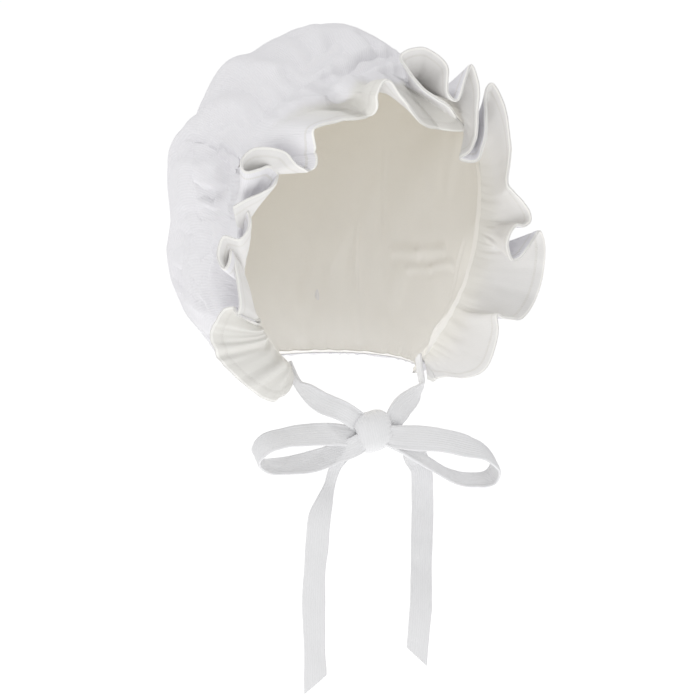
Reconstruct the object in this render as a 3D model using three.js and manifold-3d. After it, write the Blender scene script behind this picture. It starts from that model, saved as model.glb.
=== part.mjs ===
import * as THREE from 'three';
import { mergeVertices } from 'three/addons/utils/BufferGeometryUtils.js';
import Module from 'manifold-3d';

// A baby's ruffled bonnet with two tied cloth ties. Millimetres, +Z up.
// The face opening looks along -Y and the wearer's right is at -X.
// The origin is where the top of the head meets the lining.

// Cloth
const OUTER_WALL = 1.2;
const LINING_WALL = 1.0;
const FRILL_WALL = 1.8;
const PIECE_GAP = 0.3;

// Cap
const CORNER_HALF = 36.5;
const CORNER_Y = -38;
const CORNER_Z = -167.8;
const CORNER_RADIUS = 6;
const CAP_REACH = 148;
const CAP_HALF_WIDTH = 68;
const LOW_SHARE = 0.44;
const ROUNDNESS = 2.1;
const RING_LEAN = 93;

// Frill
const FRILL_WIDTH = 34;
const FRILL_LEAST_FORWARD = 0.4;

// Ties
const TIE_WIDTH = 11.5;
const TIE_THICK = 1.6;
const KNOT_Y = -56;
const KNOT_Z = -190.4;

// How finely each surface is divided
const CAP_STEPS = [52, 11];
const FRILL_STEPS = [210, 4];

// Turns rows of numbers into records with the given column names.
function table(columns, rows) {
  return rows.map((row) => Object.fromEntries(columns.map((name, i) => [name, row[i]])));
}

// The cap's arches from the face opening (ring) back to the nape, each in a plane that turns about
// the line through both tie corners. Lean is in degrees up from straight back, reach is a share of
// CAP_REACH, half width and the height of the widest place are shares of CAP_HALF_WIDTH and
// CAP_REACH.
const ARCHES = table(['lean', 'reach', 'half', 'widest'], [
  [RING_LEAN, 1.000, 1.000, 0.574],
  [84, 1.128, 1.118, 0.622],
  [71, 1.209, 1.162, 0.642],
  [55, 1.162, 1.118, 0.608],
  [39, 1.020, 1.000, 0.514],
  [25, 0.822, 0.862, 0.402],
  [12, 0.624, 0.735, 0.300],
  [1.5, 0.525, 0.650, 0.240],
]);

// Soft dents and swells of the outer cloth: where on the cap (along the arch from the wearer's
// right corner, and back from the ring), how far they spread, and their depth as a share of
// CAP_HALF_WIDTH (minus is a dent).
const SWELLS = table(['along', 'back', 'spreadAlong', 'spreadBack', 'depth'], [
  [0.41, 0.32, 0.035, 0.20, -0.065],
  [0.35, 0.34, 0.060, 0.30, -0.075],
  [0.275, 0.24, 0.022, 0.22, -0.055],
  [0.235, 0.28, 0.030, 0.22, 0.040],
  [0.185, 0.26, 0.022, 0.20, -0.050],
  [0.120, 0.30, 0.050, 0.26, 0.165],
  [0.60, 0.22, 0.045, 0.16, -0.120],
  [0.72, 0.28, 0.035, 0.20, -0.050],
  [0.84, 0.26, 0.030, 0.20, -0.050],
  [0.87, 0.32, 0.045, 0.28, 0.060],
  [0.52, 0.42, 0.060, 0.10, 0.030],
  [0.46, 0.75, 0.050, 0.10, -0.035],
  [0.60, 0.68, 0.050, 0.10, -0.030],
  [0.460, 0.28, 0.035, 0.22, -0.048],
  [0.386, 0.28, 0.022, 0.20, 0.060],
  [0.322, 0.33, 0.020, 0.20, -0.050],
  [0.285, 0.38, 0.018, 0.20, 0.060],
  [0.234, 0.46, 0.016, 0.16, -0.045],
  [0.208, 0.55, 0.024, 0.18, 0.090],
  [0.140, 0.60, 0.040, 0.20, 0.085],
]);

// The frill's hem, one row for each turn of a fold, from the wearer's right corner over the top to
// the left corner. Root is the share of the ring where that cloth is gathered, across and up are
// where its hem stands, as shares of CAP_HALF_WIDTH and CAP_REACH, and width is its share of
// FRILL_WIDTH.
const FOLDS = table(['root', 'across', 'up', 'width'], [
  [0.000, -0.539, 0.002, 0.10],
  [0.008, -0.695, -0.041, 0.45],
  [0.022, -0.903, 0.008, 0.80],
  [0.056, -1.130, 0.106, 1.00],
  [0.073, -1.212, 0.179, 1.00],
  [0.081, -1.197, 0.243, 1.00],
  [0.089, -1.095, 0.299, 1.00],
  [0.094, -1.085, 0.265, 1.00],
  [0.102, -1.075, 0.321, 1.00],
  [0.123, -1.094, 0.437, 1.00],
  [0.130, -1.095, 0.484, 1.00],
  [0.138, -1.174, 0.424, 1.00],
  [0.144, -1.213, 0.462, 1.00],
  [0.151, -1.162, 0.520, 1.00],
  [0.159, -1.072, 0.518, 1.00],
  [0.168, -0.993, 0.566, 1.00],
  [0.178, -1.024, 0.624, 1.00],
  [0.184, -1.102, 0.618, 1.00],
  [0.192, -1.023, 0.640, 1.00],
  [0.209, -0.837, 0.677, 1.00],
  [0.216, -0.758, 0.710, 1.00],
  [0.222, -0.844, 0.741, 1.00],
  [0.231, -1.042, 0.731, 1.00],
  [0.237, -1.047, 0.775, 1.00],
  [0.244, -0.932, 0.801, 1.00],
  [0.257, -0.745, 0.787, 1.00],
  [0.268, -0.651, 0.742, 1.00],
  [0.277, -0.474, 0.713, 1.00],
  [0.288, -0.431, 0.758, 1.00],
  [0.340, -0.556, 0.858, 1.00],
  [0.382, -0.291, 0.879, 1.00],
  [0.418, -0.021, 0.884, 1.00],
  [0.442, -0.084, 0.960, 1.00],
  [0.462, -0.013, 1.008, 1.00],
  [0.486, 0.102, 0.950, 1.00],
  [0.516, 0.295, 0.859, 1.00],
  [0.534, 0.567, 0.826, 1.00],
  [0.540, 0.707, 0.834, 1.00],
  [0.544, 0.472, 0.913, 1.00],
  [0.549, 0.223, 0.982, 1.00],
  [0.553, 0.095, 1.078, 1.00],
  [0.557, 0.255, 1.108, 1.00],
  [0.561, 0.422, 1.056, 1.00],
  [0.570, 0.419, 0.968, 1.00],
  [0.576, 0.501, 0.938, 1.00],
  [0.584, 0.553, 0.992, 1.00],
  [0.594, 0.629, 1.050, 1.00],
  [0.604, 0.669, 0.996, 1.00],
  [0.621, 0.654, 0.902, 1.00],
  [0.640, 0.643, 0.783, 1.00],
  [0.646, 0.575, 0.744, 1.00],
  [0.650, 0.693, 0.738, 1.00],
  [0.655, 0.714, 0.810, 1.00],
  [0.665, 0.738, 0.952, 1.00],
  [0.668, 0.833, 0.987, 1.00],
  [0.679, 0.889, 0.916, 1.00],
  [0.730, 0.936, 0.786, 1.00],
  [0.764, 0.907, 0.677, 1.00],
  [0.775, 0.952, 0.641, 1.00],
  [0.784, 1.024, 0.610, 1.00],
  [0.793, 1.091, 0.573, 1.00],
  [0.798, 1.101, 0.540, 1.00],
  [0.801, 1.050, 0.525, 1.00],
  [0.805, 0.987, 0.529, 1.00],
  [0.809, 0.934, 0.501, 1.00],
  [0.814, 0.922, 0.455, 1.00],
  [0.818, 0.959, 0.414, 1.00],
  [0.821, 1.019, 0.420, 1.00],
  [0.825, 1.092, 0.454, 1.00],
  [0.829, 1.178, 0.489, 1.00],
  [0.831, 1.231, 0.498, 1.00],
  [0.835, 1.276, 0.470, 1.00],
  [0.841, 1.288, 0.419, 1.00],
  [0.856, 1.272, 0.333, 1.00],
  [0.873, 1.204, 0.259, 1.00],
  [0.898, 1.078, 0.212, 1.00],
  [0.908, 0.926, 0.223, 1.00],
  [0.915, 0.853, 0.235, 1.00],
  [0.929, 0.867, 0.168, 1.00],
  [0.962, 0.795, 0.059, 1.00],
  [0.981, 0.697, 0.019, 0.79],
  [0.993, 0.613, 0.009, 0.44],
  [0.998, 0.581, -0.017, 0.22],
  [1.000, 0.536, -0.011, 0.10],
]);

// The ties. Straps run from the cap's corner to the knot, so their rows are shares of that way
// inward, forward and down. Loops and tails are measured from the knot across, back and up, as
// shares of the loop's reach or the tail's drop. Swing and rise turn the cloth's width (degrees
// about up, and up from level), and wide is a share of TIE_WIDTH.
const RIGHT_LOOP_REACH = 67;
const LEFT_LOOP_REACH = 58;
const RIGHT_TAIL_DROP = 121.5;
const LEFT_TAIL_DROP = 115.3;
const KNOT_WRAP_WIDTH = 17;
const KNOT_HALF_DEPTH = 5.5;
const KNOT_HALF_HEIGHT = 7.5;
const KNOT_TILT = 12;
const SEAT_OFFSET = 1.95;
const STRAP_COLUMNS = ['inward', 'forward', 'down', 'swing', 'rise', 'wide'];
const ROUTE_COLUMNS = ['across', 'back', 'up', 'swing', 'rise', 'wide'];

const SEAT = table(['along', 'wide'], [
  [0.035, 0.60],
  [0.018, 0.56],
  [0.002, 0.52],
]);

const RIGHT_STRAP = table(STRAP_COLUMNS, [
  [0.120, 0.22, 0.030, -80, 35, 0.60],
  [0.190, 0.50, 0.155, -50, 50, 0.80],
  [0.323, 0.78, 0.340, -20, 56, 0.88],
  [0.523, 1.15, 0.490, 0, 55, 0.92],
  [0.677, 1.35, 0.640, 0, 55, 0.88],
  [0.795, 1.38, 0.775, 0, 56, 0.84],
  [0.930, 1.34, 0.920, 0, 56, 0.84],
  [1.100, 1.35, 1.130, 0, 56, 0.84],
  [1.200, 1.30, 1.280, 0, 56, 0.80],
]);

const RIGHT_LOOP = table(ROUTE_COLUMNS, [
  [-0.060, -0.066, -0.010, 90, 78, 0.75],
  [0.040, -0.066, -0.008, 90, 78, 0.80],
  [0.128, -0.075, -0.036, 90, 74, 0.95],
  [0.306, -0.067, -0.061, 90, 70, 1.08],
  [0.501, -0.075, -0.088, 90, 68, 1.10],
  [0.709, -0.060, -0.146, 90, 60, 1.04],
  [0.885, -0.030, -0.214, 90, 46, 1.00],
  [1.005, 0.030, -0.325, 90, 33, 1.00],
  [0.990, 0.090, -0.425, 90, 29, 1.00],
  [0.836, 0.119, -0.440, 90, 29, 1.00],
  [0.673, 0.119, -0.396, 90, 30, 1.00],
  [0.497, 0.090, -0.290, 90, 38, 0.96],
  [0.304, 0.015, -0.168, 90, 52, 0.86],
  [0.142, -0.052, -0.070, 90, 72, 0.78],
  [0.040, -0.046, -0.015, 90, 78, 0.72],
  [-0.060, -0.046, -0.010, 90, 78, 0.70],
]);

const RIGHT_TAIL = table(ROUTE_COLUMNS, [
  [0.000, -0.042, -0.010, 180, 53, 0.70],
  [-0.063, -0.044, -0.042, 180, 52, 0.62],
  [-0.110, -0.049, -0.092, 180, 46, 0.56],
  [-0.150, -0.043, -0.145, 180, 34, 0.55],
  [-0.176, -0.035, -0.212, 180, 28, 0.62],
  [-0.212, -0.027, -0.275, 180, 15, 0.86],
  [-0.239, -0.025, -0.333, 180, 7, 1.00],
  [-0.249, -0.025, -0.437, 180, 3, 1.00],
  [-0.260, -0.025, -0.557, 180, 2, 1.00],
  [-0.264, -0.025, -0.678, 180, 0, 1.00],
  [-0.261, -0.025, -0.821, 180, -2, 1.00],
  [-0.257, -0.025, -1.000, 180, -22, 1.00],
]);

const LEFT_STRAP = table(STRAP_COLUMNS, [
  [0.115, 0.20, 0.050, 262, 35, 0.60],
  [0.125, 0.30, 0.190, 255, 38, 0.62],
  [0.200, 0.42, 0.280, 235, 46, 0.75],
  [0.315, 0.57, 0.385, 205, 54, 0.90],
  [0.500, 0.78, 0.525, 185, 50, 1.00],
  [0.625, 0.96, 0.660, 180, 48, 1.00],
  [0.720, 1.00, 0.845, 180, 62, 0.85],
  [0.836, 1.00, 0.945, 180, 76, 0.80],
]);

const LEFT_LOOP = table(ROUTE_COLUMNS, [
  [0.000, -0.005, 0.000, 180, 78, 0.80],
  [-0.110, -0.008, -0.022, 150, 78, 0.80],
  [-0.200, 0.000, -0.030, 100, 72, 0.90],
  [-0.352, 0.000, -0.004, 90, 62, 1.00],
  [-0.583, -0.030, 0.010, 90, 56, 1.04],
  [-0.798, -0.034, 0.000, 90, 50, 1.00],
  [-0.959, -0.017, -0.043, 90, 42, 1.00],
  [-1.020, 0.052, -0.148, 90, 33, 1.00],
  [-0.914, 0.121, -0.252, 90, 32, 1.00],
  [-0.722, 0.155, -0.270, 90, 34, 1.00],
  [-0.505, 0.138, -0.236, 90, 38, 1.00],
  [-0.302, 0.086, -0.156, 90, 48, 0.92],
  [-0.185, 0.042, -0.066, 110, 68, 0.85],
  [-0.100, 0.034, -0.022, 150, 78, 0.80],
  [0.000, 0.034, 0.000, 180, 78, 0.80],
]);

const LEFT_TAIL = table(ROUTE_COLUMNS, [
  [0.055, 0.019, 0.006, 180, 78, 0.80],
  [0.105, 0.026, 0.008, 182, 78, 0.82],
  [0.145, 0.062, -0.025, 186, 74, 0.88],
  [0.200, 0.100, -0.082, 190, 62, 0.95],
  [0.250, 0.130, -0.139, 190, 44, 1.00],
  [0.288, 0.142, -0.203, 188, 20, 1.00],
  [0.288, 0.125, -0.330, 184, 4, 1.00],
  [0.272, 0.095, -0.520, 180, 0, 1.00],
  [0.262, 0.078, -0.649, 180, 0, 1.00],
  [0.249, 0.052, -0.777, 180, 2, 1.00],
  [0.234, 0.043, -0.905, 180, 3, 1.00],
  [0.226, 0.043, -1.000, 180, 8, 1.00],
]);

const radians = THREE.MathUtils.degToRad;
const clamp = THREE.MathUtils.clamp;

// The value of one column at a place along a table, as a smooth curve through its rows.
function smoothColumn(rows, column, place) {
  const last = rows.length - 1;
  const scaled = clamp(place, 0, 1) * last;
  const i = Math.min(Math.floor(scaled), last - 1);
  const f = scaled - i;
  const b = rows[i][column];
  const c = rows[i + 1][column];
  const a = i > 0 ? rows[i - 1][column] : 2 * b - c;
  const d = i + 2 <= last ? rows[i + 2][column] : 2 * c - b;
  const slope = (c - a) * f;
  const bend = (2 * a - 5 * b + 4 * c - d) * f * f;
  const turn = (3 * b - a - 3 * c + d) * f * f * f;
  return 0.5 * (2 * b + slope + bend + turn);
}

// The outer cloth's plain form: along runs from the wearer's right corner over the top to the left
// one, and back runs from the ring to the nape.
function capForm(along, back) {
  const lean = radians(smoothColumn(ARCHES, 'lean', back));
  const reach = smoothColumn(ARCHES, 'reach', back) * CAP_REACH;
  const half = smoothColumn(ARCHES, 'half', back) * CAP_HALF_WIDTH;
  const widest = smoothColumn(ARCHES, 'widest', back) * CAP_REACH;
  const side = along < 0.5 ? -1 : 1;
  const climb = 1 - Math.abs(2 * along - 1);
  const low = clamp(climb / LOW_SHARE, 0, 1);
  const high = clamp((climb - LOW_SHARE) / (1 - LOW_SHARE), 0, 1) * Math.PI / 2;
  let across = CORNER_HALF + (half - CORNER_HALF) * Math.sin(low * Math.PI / 2);
  const lift = 0.55 * low + 0.45 * (1 - Math.cos(low * Math.PI / 2));
  let out = CORNER_RADIUS + (widest - CORNER_RADIUS) * lift;
  if (climb > LOW_SHARE) {
    const power = 2 / ROUNDNESS;
    across = half * Math.max(Math.cos(high), 0) ** power;
    out = widest + (reach - widest) * Math.max(Math.sin(high), 0) ** power;
  }
  return new THREE.Vector3(
    side * across,
    CORNER_Y + out * Math.cos(lean),
    CORNER_Z + out * Math.sin(lean),
  );
}

// The direction that points out of a surface at a place, by small steps along it.
function outward(surface, along, back) {
  const step = 1e-3;
  const a0 = Math.max(along - step, 0);
  const a1 = Math.min(along + step, 1);
  const b0 = Math.max(back - step, 0);
  const b1 = Math.min(back + step, 1);
  const sideways = surface(a1, back).sub(surface(a0, back));
  const rearward = surface(along, b1).sub(surface(along, b0));
  return sideways.cross(rearward).normalize();
}

// How far the soft swells move the cloth at a place.
function swell(along, back) {
  let total = 0;
  for (const row of SWELLS) {
    const a = (along - row.along) / row.spreadAlong;
    const b = (back - row.back) / row.spreadBack;
    total += row.depth * CAP_HALF_WIDTH * Math.exp(-a * a - b * b);
  }
  return total;
}

// The cap's cloth at a place, moved in or out of the outer face by a depth.
function capPoint(along, back, depth = 0) {
  const normal = outward(capForm, along, back);
  const hem = clamp(back / 0.12, 0, 1) * clamp((1 - back) / 0.1, 0, 1);
  const puff = swell(along, back) * hem;
  return capForm(along, back).addScaledVector(normal, puff - depth);
}

// A closed sheet between two faces: each face gives the point at a share along and a share across.
function sheet(steps, front, rear) {
  const [columns, rows] = steps;
  const positions = [];
  const indices = [];
  const count = (columns + 1) * (rows + 1);
  for (const face of [front, rear]) {
    for (let i = 0; i <= columns; i += 1) {
      for (let j = 0; j <= rows; j += 1) {
        positions.push(...face(i / columns, j / rows).toArray());
      }
    }
  }
  const at = (i, j) => i * (rows + 1) + j;
  const quad = (a, b, c, d) => indices.push(a, b, c, a, c, d);
  for (let i = 0; i < columns; i += 1) {
    for (let j = 0; j < rows; j += 1) {
      quad(at(i, j), at(i + 1, j), at(i + 1, j + 1), at(i, j + 1));
      quad(count + at(i, j), count + at(i, j + 1), count + at(i + 1, j + 1), count + at(i + 1, j));
    }
    quad(at(i, 0), count + at(i, 0), count + at(i + 1, 0), at(i + 1, 0));
    quad(at(i, rows), at(i + 1, rows), count + at(i + 1, rows), count + at(i, rows));
  }
  for (let j = 0; j < rows; j += 1) {
    quad(at(0, j), at(0, j + 1), count + at(0, j + 1), count + at(0, j));
    quad(at(columns, j), count + at(columns, j), count + at(columns, j + 1), at(columns, j + 1));
  }
  return closedGeometry(positions, indices);
}

// The volume inside a closed mesh, which is negative when its faces point in.
function signedVolume(positions, indices) {
  const corner = (k) => new THREE.Vector3().fromArray(positions, 3 * indices[k]);
  let total = 0;
  for (let k = 0; k < indices.length; k += 3) {
    total += corner(k).dot(corner(k + 1).cross(corner(k + 2))) / 6;
  }
  return total;
}

// A geometry whose faces point out.
function closedGeometry(positions, indices) {
  if (signedVolume(positions, indices) < 0) {
    indices.reverse();
  }
  const geometry = new THREE.BufferGeometry();
  geometry.setAttribute('position', new THREE.Float32BufferAttribute(positions, 3));
  geometry.setIndex(indices);
  return geometry;
}

// The ring where the frill is gathered, midway between the cap's outer and inner faces and just
// in front of the cap's front edge.
const CAP_WALL = OUTER_WALL + PIECE_GAP + LINING_WALL;
const ringUp = new THREE.Vector3(0, Math.cos(radians(RING_LEAN)), Math.sin(radians(RING_LEAN)));
const ringForward = new THREE.Vector3(0, -ringUp.z, ringUp.y);
const hinge = new THREE.Vector3(0, CORNER_Y, CORNER_Z);

function ringPoint(along) {
  const middle = capPoint(along, 0, CAP_WALL / 2);
  const behind = hinge.clone().sub(middle).dot(ringForward);
  return middle.addScaledVector(ringForward, behind + PIECE_GAP);
}

// Where the frill's hem stands for a place along its folds.
function hemPoint(place) {
  const root = ringPoint(smoothColumn(FOLDS, 'root', place));
  const width = smoothColumn(FOLDS, 'width', place) * FRILL_WIDTH;
  const stand = hinge.clone();
  stand.x += smoothColumn(FOLDS, 'across', place) * CAP_HALF_WIDTH;
  stand.addScaledVector(ringUp, smoothColumn(FOLDS, 'up', place) * CAP_REACH);
  const offset = stand.clone().sub(root);
  offset.addScaledVector(ringForward, -offset.dot(ringForward));
  const least = FRILL_LEAST_FORWARD * width;
  const forward = Math.sqrt(Math.max(width ** 2 - offset.lengthSq(), least ** 2));
  return root.add(offset).addScaledVector(ringForward, forward);
}

// The middle of the frill's cloth: place runs along its folds, out from the ring to the hem.
function frillMiddle(place, out) {
  const root = ringPoint(smoothColumn(FOLDS, 'root', place));
  const hem = hemPoint(place);
  const width = smoothColumn(FOLDS, 'width', place) * FRILL_WIDTH;
  const bend = root.clone().addScaledVector(ringForward, 0.45 * width);
  const a = (1 - out) * (1 - out);
  const b = 2 * out * (1 - out);
  const c = out * out;
  return root.multiplyScalar(a).addScaledVector(bend, b).addScaledVector(hem, c);
}

function frillFace(depth) {
  return (place, out) => {
    const normal = outward(frillMiddle, place, out);
    return frillMiddle(place, out).addScaledVector(normal, depth);
  };
}

// A flat cloth band along a route of stations, each with a point, the direction of its width and
// how wide it is.
function band(stations, stepsEach) {
  const points = stations.map((s) => s.point);
  const path = new THREE.CatmullRomCurve3(points, false, 'centripetal');
  const steps = (stations.length - 1) * stepsEach;
  const positions = [];
  const indices = [];
  for (let i = 0; i <= steps; i += 1) {
    const place = i / steps;
    const scaled = place * (stations.length - 1);
    const k = Math.min(Math.floor(scaled), stations.length - 2);
    const f = scaled - k;
    const centre = path.getPoint(place);
    const tangent = path.getTangent(place);
    const across = stations[k].across.clone().lerp(stations[k + 1].across, f);
    across.addScaledVector(tangent, -across.dot(tangent)).normalize();
    const thin = tangent.clone().cross(across).normalize();
    const wide = THREE.MathUtils.lerp(stations[k].wide, stations[k + 1].wide, f) / 2;
    for (const [u, v] of [[-1, -0.5], [-0.9, 0.5], [0.9, 0.5], [1, -0.5]]) {
      const corner = centre.clone().addScaledVector(across, u * wide);
      positions.push(...corner.addScaledVector(thin, v * TIE_THICK).toArray());
    }
  }
  const quad = (a, b, c, d) => indices.push(a, b, c, a, c, d);
  for (let i = 0; i < steps; i += 1) {
    for (let j = 0; j < 4; j += 1) {
      const next = (j + 1) % 4;
      quad(4 * i + j, 4 * i + next, 4 * (i + 1) + next, 4 * (i + 1) + j);
    }
  }
  quad(3, 2, 1, 0);
  quad(4 * steps, 4 * steps + 1, 4 * steps + 2, 4 * steps + 3);
  return closedGeometry(positions, indices);
}

function widthDirection(row) {
  const swing = radians(row.swing);
  const rise = radians(row.rise);
  return new THREE.Vector3(
    Math.cos(rise) * Math.cos(swing),
    Math.cos(rise) * Math.sin(swing),
    Math.sin(rise),
  );
}

const knot = new THREE.Vector3(0, KNOT_Y, KNOT_Z);

// The stretch of a tie that is sewn inside the cap's corner.
function seatStations(side) {
  const depth = CAP_WALL + SEAT_OFFSET;
  return SEAT.map((row) => {
    const along = side < 0 ? row.along : 1 - row.along;
    const across = capForm(along, 0.30).sub(capForm(along, 0.40)).normalize();
    return { point: capPoint(along, 0.35, depth), across, wide: row.wide * TIE_WIDTH };
  });
}

function strapStations(rows, side) {
  return rows.map((row) => ({
    point: new THREE.Vector3(
      side * CORNER_HALF * (1 - row.inward),
      CORNER_Y + (KNOT_Y - CORNER_Y) * row.forward,
      CORNER_Z + (KNOT_Z - CORNER_Z) * row.down,
    ),
    across: widthDirection(row),
    wide: row.wide * TIE_WIDTH,
  }));
}

function routeStations(rows, size) {
  return rows.map((row) => ({
    point: new THREE.Vector3(row.across, row.back, row.up).multiplyScalar(size).add(knot),
    across: widthDirection(row),
    wide: row.wide * TIE_WIDTH,
  }));
}

// The part of the right tie that goes round the knot, as a closed band.
function knotWrap() {
  const steps = 28;
  const section = [[-0.5, -0.5], [-0.5, 0.4], [0, 0.75], [0.5, 0.4], [0.5, -0.5]];
  const tilt = radians(KNOT_TILT);
  const axis = new THREE.Vector3(Math.cos(tilt), 0, Math.sin(tilt));
  const rise = new THREE.Vector3(-Math.sin(tilt), 0, Math.cos(tilt));
  const positions = [];
  const indices = [];
  for (let i = 0; i < steps; i += 1) {
    const turn = 2 * Math.PI * i / steps;
    const c = Math.cos(turn);
    const s = Math.sin(turn);
    const y = Math.sign(c) * Math.abs(c) ** 0.6;
    const z = Math.sign(s) * Math.abs(s) ** 0.6;
    for (const [u, v] of section) {
      const point = knot.clone();
      point.y += y * (KNOT_HALF_DEPTH + v * TIE_THICK);
      point.addScaledVector(rise, z * (KNOT_HALF_HEIGHT + v * TIE_THICK));
      point.addScaledVector(axis, u * KNOT_WRAP_WIDTH);
      positions.push(...point.toArray());
    }
  }
  const n = section.length;
  const at = (i, j) => (i % steps) * n + (j % n);
  for (let i = 0; i < steps; i += 1) {
    for (let j = 0; j < n; j += 1) {
      const [a, b, c, d] = [at(i, j), at(i, j + 1), at(i + 1, j + 1), at(i + 1, j)];
      indices.push(a, b, c, a, c, d);
    }
  }
  return closedGeometry(positions, indices);
}

const wasm = await Module();
wasm.setup();

// One solid from several overlapping closed pieces, without the specks that a join can leave.
function joined(geometries) {
  const solids = geometries.map((geometry) => {
    const plain = mergeVertices(geometry, 1e-4);
    return new wasm.Manifold(new wasm.Mesh({
      numProp: 3,
      vertProperties: new Float32Array(plain.attributes.position.array),
      triVerts: new Uint32Array(plain.index.array),
    }));
  });
  const bodies = solids.reduce((whole, piece) => whole.add(piece)).decompose();
  bodies.sort((a, b) => b.volume() - a.volume());
  const result = bodies[0].getMesh();
  return closedGeometry(Array.from(result.vertProperties), Array.from(result.triVerts));
}

function crownGeometry() {
  return sheet(
    CAP_STEPS,
    (along, back) => capPoint(along, back),
    (along, back) => capPoint(along, back, OUTER_WALL),
  );
}

function liningGeometry() {
  const near = OUTER_WALL + PIECE_GAP;
  return sheet(
    CAP_STEPS,
    (along, back) => capPoint(along, back, near),
    (along, back) => capPoint(along, back, near + LINING_WALL),
  );
}

function frillGeometry() {
  return sheet(FRILL_STEPS, frillFace(FRILL_WALL / 2), frillFace(-FRILL_WALL / 2));
}

function rightTieGeometry() {
  return joined([
    band([...seatStations(-1), ...strapStations(RIGHT_STRAP, -1)], 3),
    knotWrap(),
    band(routeStations(RIGHT_LOOP, RIGHT_LOOP_REACH), 3),
    band(routeStations(RIGHT_TAIL, RIGHT_TAIL_DROP), 3),
  ]);
}

function leftTieGeometry() {
  return band([
    ...seatStations(1),
    ...strapStations(LEFT_STRAP, 1),
    ...routeStations(LEFT_LOOP, LEFT_LOOP_REACH),
    ...routeStations(LEFT_TAIL, LEFT_TAIL_DROP),
  ], 3);
}

function cloth(color, roughness) {
  return new THREE.MeshStandardMaterial({ color, roughness, metalness: 0 });
}

const pieces = [
  ['crown', crownGeometry(), cloth(0xe4e3e8, 0.92)],
  ['lining', liningGeometry(), cloth(0xd9d3c4, 0.95)],
  ['frill', frillGeometry(), cloth(0xe2e1e4, 0.92)],
  ['tie_right', rightTieGeometry(), cloth(0xdddddf, 0.9)],
  ['tie_left', leftTieGeometry(), cloth(0xdddddf, 0.9)],
];

const bonnet = new THREE.Group();
for (const [name, geometry, material] of pieces) {
  const mesh = new THREE.Mesh(geometry, material);
  mesh.name = name;
  bonnet.add(mesh);
}

export default bonnet;
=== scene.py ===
import math

import bpy
import numpy as np
from mathutils import Matrix, Vector


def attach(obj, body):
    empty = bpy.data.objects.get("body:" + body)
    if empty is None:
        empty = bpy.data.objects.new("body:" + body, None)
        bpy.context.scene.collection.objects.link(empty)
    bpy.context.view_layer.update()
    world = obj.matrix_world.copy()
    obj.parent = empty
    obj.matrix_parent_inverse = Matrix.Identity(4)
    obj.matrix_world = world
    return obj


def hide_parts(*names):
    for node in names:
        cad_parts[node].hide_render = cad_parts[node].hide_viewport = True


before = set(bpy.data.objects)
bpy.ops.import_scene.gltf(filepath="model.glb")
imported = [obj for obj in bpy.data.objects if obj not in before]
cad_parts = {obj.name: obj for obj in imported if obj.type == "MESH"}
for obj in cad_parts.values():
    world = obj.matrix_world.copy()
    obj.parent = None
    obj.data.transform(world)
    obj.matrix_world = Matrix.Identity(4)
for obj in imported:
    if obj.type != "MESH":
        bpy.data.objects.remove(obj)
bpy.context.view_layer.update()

# Sizes in millimetres and angles in degrees; the meshes are made in metres
MILLIMETRE = 0.001
OUTER_WALL = 1.2
LINING_WALL = 1.0
FRILL_WALL = 1.8
PIECE_GAP = 0.3
CORNER_HALF = 36.5
CORNER_Y = -38
CORNER_Z = -167.8
CORNER_RADIUS = 6
CAP_REACH = 148
CAP_HALF_WIDTH = 68
LOW_SHARE = 0.44
ROUNDNESS = 2.1
RING_LEAN = 93
FRILL_WIDTH = 34
FRILL_LEAST_FORWARD = 0.4
TIE_WIDTH = 11.5
TIE_THICK = 1.6
KNOT_Y = -56
KNOT_Z = -190.4
RIGHT_LOOP_REACH = 67
LEFT_LOOP_REACH = 58
RIGHT_TAIL_DROP = 121.5
LEFT_TAIL_DROP = 115.3
KNOT_WRAP_WIDTH = 17
KNOT_HALF_DEPTH = 5.5
KNOT_HALF_HEIGHT = 7.5
KNOT_TILT = 12
SEAT_OFFSET = 1.95
CAP_WALL = OUTER_WALL + PIECE_GAP + LINING_WALL
RIB_PITCH = 1.15
CAP_CUT_WIDTH = 440.0
CAP_CUT_DEPTH = 230.0
HEM_BAND = 3.2
ROOT_LAP_OUT = 2.5
ROOT_LAP_IN = 3.5
ROOT_BLEND = 0.30
CREASE_DEPTH = 1.3
THREAD_PITCH = 0.55
WEAVE_PITCH = 0.6
INSIDE_WEAVE_PITCH = 0.5
STITCH_PITCH = 2.4
STITCH_HALF_WIDTH = 0.4
RIM_WIDTH = 0.7

# Lumps of uneven shade to a metre of cloth
FINE_MOTTLE = 900.0
SOFT_MOTTLE = 60.0
LINING_FINE_MOTTLE = 700.0
LINING_SOFT_MOTTLE = 35.0
MOTTLE_DETAIL = 3.0

# Counts of mesh points
CROWN_GRID = (372, 132)
LINING_GRID = (360, 130)
FRILL_GRID = (1100, 40)
BAND_STEPS = 26
BAND_SIDES = 36
WRAP_STEPS = 120
WRAP_COLUMNS = 25


def table(names, rows):
    """Columns by name, as arrays."""
    return {name: np.array([row[i] for row in rows], float) for i, name in enumerate(names)}


ARCHES = table(["lean", "reach", "half", "widest"], [
    [93, 1.000, 1.000, 0.574],
    [84, 1.128, 1.118, 0.622],
    [71, 1.209, 1.162, 0.642],
    [55, 1.162, 1.118, 0.608],
    [39, 1.020, 1.000, 0.514],
    [25, 0.822, 0.862, 0.402],
    [12, 0.624, 0.735, 0.300],
    [1.5, 0.525, 0.650, 0.240],
])

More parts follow.
